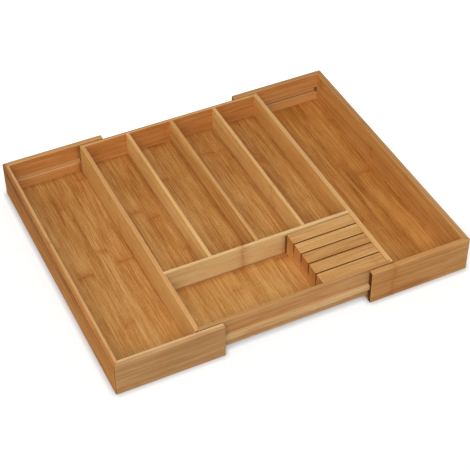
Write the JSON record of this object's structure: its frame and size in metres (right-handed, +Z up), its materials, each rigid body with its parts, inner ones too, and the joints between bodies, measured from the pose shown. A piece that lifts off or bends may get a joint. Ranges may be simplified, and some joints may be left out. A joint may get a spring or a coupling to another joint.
{
  "type": "expanding cutlery tray",
  "caption": "Expanding bamboo drawer tray with cutlery compartments, a slotted knife block that lifts out, and end trays that slide out on rails at both sides.",
  "frame": {"origin": "on the resting surface, below the middle of the tray as it stands part opened", "axes": "+X along the slide of the right extension, +Y from the front to the rear, +Z up"},
  "size_m": [0.52, 0.43, 0.054],
  "materials": {
    "wall_bamboo": "satin varnish",
    "floor_bamboo": "satin varnish",
    "divider_bamboo": "satin varnish",
    "rail_bamboo": "satin varnish",
    "knife_block_bamboo": "satin varnish"
  },
  "bodies": {
    "central_tray": {"central_front_board": "wall_bamboo", "central_rear_board": "wall_bamboo", "central_left_board": "wall_bamboo", "central_right_board": "wall_bamboo", "central_floor": "floor_bamboo", "cross_divider": "divider_bamboo", "long_divider_1": "divider_bamboo", "long_divider_2": "divider_bamboo", "long_divider_3": "divider_bamboo", "front_rail": "rail_bamboo", "rear_rail": "rail_bamboo"},
    "left_extension": {"left_end_board": "wall_bamboo", "left_front_board": "wall_bamboo", "left_rear_board": "wall_bamboo", "left_floor": "floor_bamboo"},
    "right_extension": {"right_end_board": "wall_bamboo", "right_front_board": "wall_bamboo", "right_rear_board": "wall_bamboo", "right_floor": "floor_bamboo"},
    "knife_block": {"knife_strip_1": "knife_block_bamboo", "knife_strip_2": "knife_block_bamboo", "knife_strip_3": "knife_block_bamboo", "knife_strip_4": "knife_block_bamboo", "knife_strip_5": "knife_block_bamboo", "knife_spacer_1": "knife_block_bamboo", "knife_spacer_2": "knife_block_bamboo", "knife_spacer_3": "knife_block_bamboo", "knife_spacer_4": "knife_block_bamboo"}
  },
  "joints": [
    {"name": "left_slide", "type": "slide", "parent": "central_tray", "child": "left_extension", "axis": [-1, 0, 0], "range_m": [-0.1065, 0.0125]},
    {"name": "right_slide", "type": "slide", "parent": "central_tray", "child": "right_extension", "axis": [1, 0, 0], "range_m": [-0.1065, 0.0125]},
    {"name": "knife_block_lift", "type": "slide", "parent": "central_tray", "child": "knife_block", "axis": [0, 0, 1], "range_m": [0, 0.06]}
  ]
}
